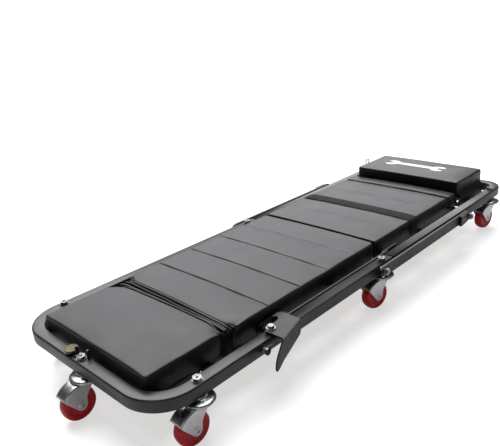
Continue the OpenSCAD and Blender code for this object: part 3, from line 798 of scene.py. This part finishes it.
def seat_flap():
    """Loose end of the seat cover hanging behind the roll, in front of the headrest."""
    low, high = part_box("seat_pad")
    set_back, end_gap, ripple = 0.0088, 0.0005, 0.0011
    back = high.x + set_back
    top, bottom = high.z - 0.014, low.z + 0.0015
    columns, rows = 60, 6
    verts = []
    for layer in (0.0, 0.0012):
        for i in range(columns + 1):
            y = -high.y + end_gap + 2 * (high.y - end_gap) * i / columns
            for j in range(rows + 1):
                v = j / rows
                wave = noise.noise(Vector((y * 45, 0.3, v * 2))) * ripple
                lean = -set_back * max(0.0, 1 - v / 0.45) ** 1.5
                verts.append((back + wave + lean + layer, y, top + (bottom - top) * v))
    obj = add_mesh("seat_flap", verts, sheet_faces(columns, rows), VINYL)
    subdivide(obj, 1)
    attach(obj, "head_frame")


seat_flap()


# ---------------------------------------------------------------- gathered cover ends of the headrest
def cover_end(name, side):
    """Vinyl folded down over the hinge arm at one end of the headrest, gathered in upright creases."""
    low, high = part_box("headrest_pad")
    x0, x1 = low.x + 0.005, high.x - 0.014
    top, deepest, rise = low.z + 0.014, low.z - 0.0165, 0.0145
    flare, fold, fine_fold = 0.0138, 0.0028, 0.0012
    columns, rows = 44, 12
    verts = []
    for layer in (0.0, 0.0012):
        for i in range(columns + 1):
            t = i / columns
            x = x0 + (x1 - x0) * t
            bottom = deepest + rise * t ** 0.8
            for j in range(rows + 1):
                v = j / rows
                z = top + (bottom - top) * v
                out = flare * min(1.0, max(0.0, (v - 0.12) / 0.5)) ** 0.75
                crease = noise.noise(Vector((x * 130, side * 5.1, z * 10))) * fold \
                    + noise.noise(Vector((x * 300, side * 9.1, z * 18))) * fine_fold
                verts.append((x, side * (high.y - 0.0022 + out + crease * min(1.0, v * 2.2) - layer), z))
    obj = add_mesh(name, verts, sheet_faces(columns, rows), VINYL)
    subdivide(obj, 1)
    attach(obj, "headrest")


cover_end("headrest_cover_left", 1)
cover_end("headrest_cover_right", -1)


# ---------------------------------------------------------------- plain spanner printed on the headrest
def spanner_outline():
    """Outline of a double open-ended spanner lying along X, centred on the origin."""
    long_half, neck, head_r, jaw, mouth = 0.074, 0.009, 0.0225, 0.0115, 0.013
    start = math.degrees(math.asin(neck / head_r))
    upper = arc_path(long_half, 0.0, head_r, 180 - start, 32, 14)
    upper += [(long_half + mouth * 0.05, jaw * 0.62), (long_half - mouth * 0.35, 0.0)]
    head = upper + [(x, -y) for x, y in reversed(upper[:-1])]
    return head + [(-x, -y) for x, y in head]


def printed_spanner():
    """Thin print laid on the headrest cushion, across the creeper."""
    low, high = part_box("headrest_pad")
    centre = Vector(((low.x + high.x) / 2 + 0.004, 0.012, 0))
    clearance, ink_rise = 0.03, 0.00025
    mesh = bpy.data.meshes.new("headrest_print")
    bm = bmesh.new()
    bm.faces.new([bm.verts.new((x, y, 0.0)) for x, y in spanner_outline()])
    bmesh.ops.triangulate(bm, faces=bm.faces[:])
    for _ in range(3):
        bmesh.ops.subdivide_edges(bm, edges=[e for e in bm.edges if e.calc_length() > 0.007], cuts=1)
        bmesh.ops.triangulate(bm, faces=bm.faces[:])
    surface = REST.evaluated_get(bpy.context.evaluated_depsgraph_get())
    for v in bm.verts:
        spot = centre + Vector((-v.co.y, -v.co.x, high.z + clearance))
        hit, place, _, _ = surface.ray_cast(spot, Vector((0, 0, -1)))
        v.co = place + Vector((0, 0, ink_rise)) if hit else spot - Vector((0, 0, clearance))
    bm.to_mesh(mesh)
    bm.free()
    obj = bpy.data.objects.new("headrest_print", mesh)
    SCENE.collection.objects.link(obj)
    mesh.materials.append(INK)
    thick = obj.modifiers.new("ink", "SOLIDIFY")
    thick.thickness = 0.0004
    thick.offset = 0.0
    attach(obj, "headrest")


printed_spanner()


# ---------------------------------------------------------------- matte band round the seat cushion
def band_profile(half, top, bottom):
    """Line of (y, z) points up one side, over the crown and down the other side."""
    corner_r, crown, steps = 0.009, 0.0025, 26
    shoulder = top - crown
    up = [(half, bottom), (half, (bottom + top - corner_r) / 2)]
    up += arc_path(half - corner_r, shoulder - corner_r, corner_r, 0, 90, 6)
    profile = list(up)
    for i in range(1, steps):
        y = (half - corner_r) * (1 - 2 * i / steps)
        profile.append((y, shoulder + crown * (1 - (y / half) ** 2) ** 0.5))
    return profile + [(-y, z) for y, z in reversed(up)]


def band():
    """Elastic band over the seat cushion, a little thinner along its two edges."""
    low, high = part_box("seat_band")
    top = high.z + 0.0052
    columns = 6
    thick, pinch = 0.0012, 0.0006
    profile = band_profile(high.y + 0.0012, top, low.z + 0.002)
    verts = []
    for layer in (0, 1):
        for i in range(columns + 1):
            x = low.x + (high.x - low.x) * i / columns
            inward = thick * layer + pinch * abs(i - columns / 2) / (columns / 2)
            for y, z in profile:
                verts.append((x, y - math.copysign(inward, y) if z < top - 0.006 else y,
                              z - inward if z > top - 0.012 else z))
    obj = add_mesh("seat_elastic_band", verts, sheet_faces(columns, len(profile) - 1), BAND)
    subdivide(obj, 1)
    attach(obj, "head_frame", ["seat_band"])


band()


# ---------------------------------------------------------------- frames
def u_frame(name, node, body, bend_r, steps, end):
    """One U of square tube with its closed end at the foot (end -1) or at the head (end 1)."""
    low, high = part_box(node)
    size = high.z - low.z
    rail = high.y - size / 2
    open_x, outer_x = (high.x, low.x) if end < 0 else (low.x, high.x)
    bar_x = outer_x - end * size / 2
    cx, cy = outer_x - end * bend_r, high.y - bend_r
    lead = 0.002
    path = [(open_x, -rail), (cx - end * lead, -rail)]
    path += arc_path(cx, -cy, bend_r - size / 2, 270, 270 + end * 90, steps)
    path += [(bar_x, -cy + lead), (bar_x, cy - lead)]
    path += arc_path(cx, cy, bend_r - size / 2, 90 - end * 90, 90, steps)
    path += [(cx - end * lead, rail), (open_x, rail)]
    attach(tube_frame(name, path, size, (low.z + high.z) / 2, PAINT), body, [node])


u_frame("foot_tube_frame", "frame_foot", "foot_frame", 0.080, 20, -1)
u_frame("head_tube_frame", "frame_head", "head_frame", 0.052, 16, 1)


# ---------------------------------------------------------------- CAD nodes that stay, with softened edges
# Radius about an axis within which bore faces get painted shade.
SHADED_BORE_R = 0.0026


def soften(node, material, width):
    obj = NODES[node]
    obj.data.materials.clear()
    obj.data.materials.append(material)
    weld = obj.modifiers.new("weld", "WELD")
    weld.merge_threshold = 0.00001
    if width:
        flat = obj.modifiers.new("flat", "DECIMATE")
        flat.decimate_type = "DISSOLVE"
        flat.angle_limit = math.radians(0.8)
        bevel(obj, width)


for node, material, width in (
        ("cross_bars_foot", PAINT, 0.0008), ("cross_bars_head", PAINT, 0.0008),
        ("front_link_left", LEVER, 0.0009), ("front_link_right", LEVER, 0.0009),
        ("rear_link_left", LEVER, 0.0011), ("rear_link_right", LEVER, 0.0011),
        ("seat_gussets", PAINT, 0.0006), ("latch_lever", LEVER, 0.0008), ("link_stops", LEVER, 0.0008),
        ("headrest_arms", LEVER, 0.0006),
        ("foot_board", WOOD, 0.0008), ("long_board", WOOD, 0.0008), ("seat_board", WOOD, 0.0008),
        ("headrest_board", WOOD, 0.0008), ("front_lower_bolts", BOLT, 0.0006),
        ("front_upper_bolts", BOLT, 0.0006), ("rear_lower_bolts", BOLT, 0.0006),
        ("rear_upper_bolts", BOLT, 0.0006), ("latch_bolt", NUT, 0.0006),
        ("latch_spring", SPRING, 0.0), ("headrest_pins", BOLT, 0.0006), ("wire_loop", WIRE, 0.0),
        ("foot_disc", BRASS, 0.0008), ("foot_clip", PLASTIC, 0.0005), ("rail_hooks", PLASTIC, 0.0008),
        ("castor_stems_foot", BOLT, 0.0005), ("castor_stems_head", BOLT, 0.0005),
        ("castor_heads_foot", BRIGHT, 0.0004), ("castor_heads_head", BRIGHT, 0.0004),
        ("castor_nuts_foot", NUT, 0.0008), ("castor_nuts_head", NUT, 0.0008)):
    soften(node, material, width)
for k in CASTORS:
    soften(f"axle_{k}", BRIGHT, 0.0004)


def paint_bore_shade(node, point, axis):
    """Paints the faces inside a drilled end near black, as painted shade in the hole."""
    obj = NODES[node]
    centre, direction = Vector(point), Vector(axis)
    if len(obj.data.materials) < 2:
        obj.data.materials.append(BORE_SHADE)
    for face in obj.data.polygons:
        away = obj.matrix_world @ face.center - centre
        if (away - direction * away.dot(direction)).length < SHADED_BORE_R:
            face.material_index = 1


# Painted shade inside each axle end and each stem top.
for k in CASTORS:
    swivel, roll = JOINTS[f"swivel_{k}_turn"], JOINTS[f"wheel_{k}_roll"]
    paint_bore_shade(f"axle_{k}", roll["pos_m"], roll["axis"])
    frame_end = "foot" if k in FOOT_CASTORS else "head"
    paint_bore_shade(f"castor_stems_{frame_end}", swivel["pos_m"], (0, 0, 1))


# ---------------------------------------------------------------- castor forks and wheels
def smooth_curve(points, count):
    """Evenly spaced points on a Catmull-Rom curve through the given ones."""
    pts = [Vector(p) for p in points]
    pts = [2 * pts[0] - pts[1]] + pts + [2 * pts[-1] - pts[-2]]
    fine = []
    for i in range(1, len(pts) - 2):
        a, b, c, d = pts[i - 1:i + 3]
        for k in range(12):
            t = k / 12
            fine.append(0.5 * ((2 * b) + (c - a) * t + (2 * a - 5 * b + 4 * c - d) * t * t
                               + (3 * b - a - 3 * c + d) * t ** 3))
    fine.append(pts[-2])
    lengths = [0.0]
    for a, b in zip(fine, fine[1:]):
        lengths.append(lengths[-1] + (b - a).length)
    out, j = [], 0
    for k in range(count + 1):
        want = lengths[-1] * k / count
        while j < len(fine) - 2 and lengths[j + 1] < want:
            j += 1
        f = (want - lengths[j]) / max(lengths[j + 1] - lengths[j], TINY)
        out.append(fine[j].lerp(fine[j + 1], min(1.0, f)))
    return out


# side view of the fork in millimetres: the top line of its shield and the lower edge of its plates
SHIELD = smooth_curve([(3, 72), (-8, 72), (-20, 72), (-30, 70.3), (-41, 65.3), (-49, 58.6),
                       (-51.6, 54.2)], 30)
LOWER = smooth_curve([(4.5, 68), (1, 60.5), (-7, 50.5), (-11, 42), (-11.6, 33), (-14.5, 25.6), (-21.5, 22.3),
                      (-28, 25.2), (-36, 34.6), (-44.5, 44.8), (-50.4, 52.4)], 30)
PLATE_OUT, PLATE_T, SHIELD_R = 15.5, 2.5, 4.2
AXLE_BACK, WHEEL_R = -21.5, 31.75


def fork_section(upper, lower, inset):
    """Points across the bent sheet of the fork, from one plate's lower edge over to the other's."""
    down = lower - upper
    length = max(down.length, 1e-6)
    down /= length
    peak = upper + down * inset
    half = PLATE_OUT - inset
    r = max(0.4, min(SHIELD_R - inset, 0.45 * (length - inset)))
    points = [(lower.lerp(peak + down * r, t), half) for t in (0, 0.35, 0.7)]
    for k in range(5):
        a = math.radians(90 * k / 4)
        points.append((peak + down * (r - r * math.sin(a)), half - r + r * math.cos(a)))
    points += [(peak, half * f) for f in (0.4, 0.0)]
    return points + [(p, -y) for p, y in reversed(points[:-1])]


def lathe(profile, steps, offset=0):
    """Closed ring about the Z axis through (radius, height) points. Returns vertices and faces."""
    n = len(profile)
    verts = [(r * math.cos(2 * math.pi * i / steps), r * math.sin(2 * math.pi * i / steps), z)
             for i in range(steps) for r, z in profile]
    faces = []
    for i in range(steps):
        j = (i + 1) % steps
        for k in range(n):
            m = (k + 1) % n
            faces.append((offset + i * n + k, offset + j * n + k, offset + j * n + m, offset + i * n + m))
    return verts, faces


def place_castor(name, k, verts, faces, material):
    """Mesh drawn in millimetres about a castor's swivel axis, turned and moved to castor k."""
    axle = JOINTS[f"wheel_{k}_roll"]["axis"]
    spot = JOINTS[f"swivel_{k}_turn"]["pos_m"]
    turn = math.atan2(-axle[0], axle[1])
    matrix = Matrix.Translation((spot[0], spot[1], 0)) @ Matrix.Rotation(turn, 4, "Z") @ Matrix.Scale(MM, 4)
    return add_mesh(name, [matrix @ Vector(v) for v in verts], faces, material)


def castor_fork(k):
    """Bent sheet fork with its round race cup and the two bosses round the axle."""
    sections = [fork_section(upper, lower, inset) for inset in (0.0, PLATE_T)
                for upper, lower in zip(SHIELD, LOWER)]
    verts = [(p.x, y, p.y) for section in sections for p, y in section]
    faces = sheet_faces(len(SHIELD) - 1, len(sections[0]) - 1)
    cup = [(5.3, 69.4), (22.8, 69.4), (23.9, 69.9), (24.3, 70.9), (23.9, 71.9), (22.6, 72.4), (19.5, 72.5),
           (18.5, 71.8), (14.0, 71.8), (13.0, 72.5), (5.3, 72.5)]
    ring, ring_faces = lathe(cup, 48, len(verts))
    verts += ring
    faces += ring_faces
    boss = [(4.3, 0.0), (8.0, 0.0), (7.6, 0.5), (6.9, 0.8), (4.3, 0.8)]
    for side in (-1, 1):
        ring, ring_faces = lathe(boss, 32, len(verts))
        verts += [(AXLE_BACK + x, side * (PLATE_OUT - 0.2 + z), WHEEL_R + y) for x, y, z in ring]
        faces += ring_faces
    obj = place_castor(f"castor_fork_{k}", k, verts, faces, BRIGHT)
    bevel(obj, 0.0005, 50)
    return obj


def castor_wheel(k):
    """Cast wheel with a rounded tread and hub bosses."""
    half = [(4.05, 11.6), (9.2, 11.6), (10.0, 11.2), (10.6, 9.8), (21.0, 9.6), (22.0, 10.2), (23.2, 10.9),
            (26.2, 10.9), (28.6, 10.1), (30.3, 8.2), (31.2, 5.2), (31.65, 2.2), (WHEEL_R, 0.0)]
    ring, faces = lathe(half + [(r, -w) for r, w in reversed(half[:-1])], 72)
    verts = [(AXLE_BACK + x, z, WHEEL_R + y) for x, y, z in ring]
    obj = place_castor(f"castor_wheel_{k}", k, verts, faces, RED)
    obj.modifiers.new("edges", "BEVEL").width = 0.0003
    return obj


for k in CASTORS:
    attach(castor_fork(k), f"swivel_{k}", [f"fork_{k}"])
    attach(castor_wheel(k), f"rolling_{k}", [f"wheel_{k}"])


# ---------------------------------------------------------------- stage, lights, camera
def studio_floor():
    """Pale floor that glows more for the camera than for the object above it."""
    look = Shader("studio_floor", (0.5, 0.5, 0.5), 0.6, Emission_Color=(1.0, 1.0, 1.0, 1.0))
    look.roughness(look.noise(3), 0.3, 0.7, 0.55, 0.65)
    camera_ray = look.tree.nodes.new("ShaderNodeLightPath").outputs["Is Camera Ray"]
    look.link(look.ramp(camera_ray, 0, 1, 0.2, 0.6), look.bsdf.inputs["Emission Strength"])
    reach, drop = 30, -0.0005
    corners = [(-reach, -reach, drop), (reach, -reach, drop), (reach, reach, drop), (-reach, reach, drop)]
    add_mesh("studio_floor", corners, [(0, 1, 2, 3)], look.mat, smooth=False)


def area_light(name, location, target, size, power, color=(1, 1, 1)):
    data = bpy.data.lights.new(name, "AREA")
    data.shape = "RECTANGLE"
    data.size, data.size_y = size
    data.energy = power
    data.color = color
    obj = bpy.data.objects.new(name, data)
    obj.location = location
    obj.rotation_mode = "QUATERNION"
    obj.rotation_quaternion = (Vector(location) - Vector(target)).to_track_quat("Z", "Y")
    SCENE.collection.objects.link(obj)


def studio_world():
    """White backdrop for the camera, dim surroundings for everything else."""
    world = bpy.data.worlds.new("studio")
    SCENE.world = world
    world.use_nodes = True
    tree = world.node_tree
    background = tree.nodes["Background"]
    background.inputs["Color"].default_value = (1.0, 1.0, 1.0, 1)
    seen = tree.nodes.new("ShaderNodeLightPath")
    level = tree.nodes.new("ShaderNodeMapRange")
    level.inputs["To Min"].default_value = 0.1
    level.inputs["To Max"].default_value = 1.05
    tree.links.new(seen.outputs["Is Camera Ray"], level.inputs["Value"])
    tree.links.new(level.outputs["Result"], background.inputs["Strength"])


def overhead_light():
    data = bpy.data.lights.new("overhead", "SUN")
    data.energy = 4.4
    data.angle = math.radians(55)
    obj = bpy.data.objects.new("overhead", data)
    obj.rotation_euler = (math.radians(-22), math.radians(16), 0)
    SCENE.collection.objects.link(obj)


studio_floor()
studio_world()
area_light("far_softbox", (2.5, 2.9, 2.3), (0.1, 0, 0.1), (5.5, 3.4), 158, (0.965, 0.96, 1.0))
area_light("side_fill", (-2.6, -1.2, 1.4), (0, 0, 0.1), (1.6, 1.2), 6)
overhead_light()

CAMERA_AZIMUTH, CAMERA_ELEVATION, CAMERA_ROLL = -45.09, 21.12, -4.21
CAMERA_PLACE = (row(-366.5), -0.8047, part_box("frame_foot")[1].z + 0.5463)
FOCAL_PIXELS, FRAME_WIDTH, SENSOR_WIDTH = 575.7, 500, 36


def make_camera():
    """Camera at the photograph's viewing angle, turned a little about its own axis."""
    az, el, roll = (math.radians(a) for a in (CAMERA_AZIMUTH, CAMERA_ELEVATION, CAMERA_ROLL))
    back = Vector((math.sin(az) * math.cos(el), -math.cos(az) * math.cos(el), math.sin(el)))
    right0 = (-back).cross(Vector((0, 0, 1))).normalized()
    up0 = right0.cross(-back)
    right = right0 * math.cos(roll) + up0 * math.sin(roll)
    up = up0 * math.cos(roll) - right0 * math.sin(roll)
    data = bpy.data.cameras.new("photo_view")
    data.sensor_width = SENSOR_WIDTH
    data.lens = SENSOR_WIDTH * FOCAL_PIXELS / FRAME_WIDTH
    data.clip_start, data.clip_end = 0.05, 60
    obj = bpy.data.objects.new("photo_view", data)
    SCENE.collection.objects.link(obj)
    obj.matrix_world = Matrix.Translation(CAMERA_PLACE) @ Matrix((right, up, back)).transposed().to_4x4()
    SCENE.camera = obj


make_camera()
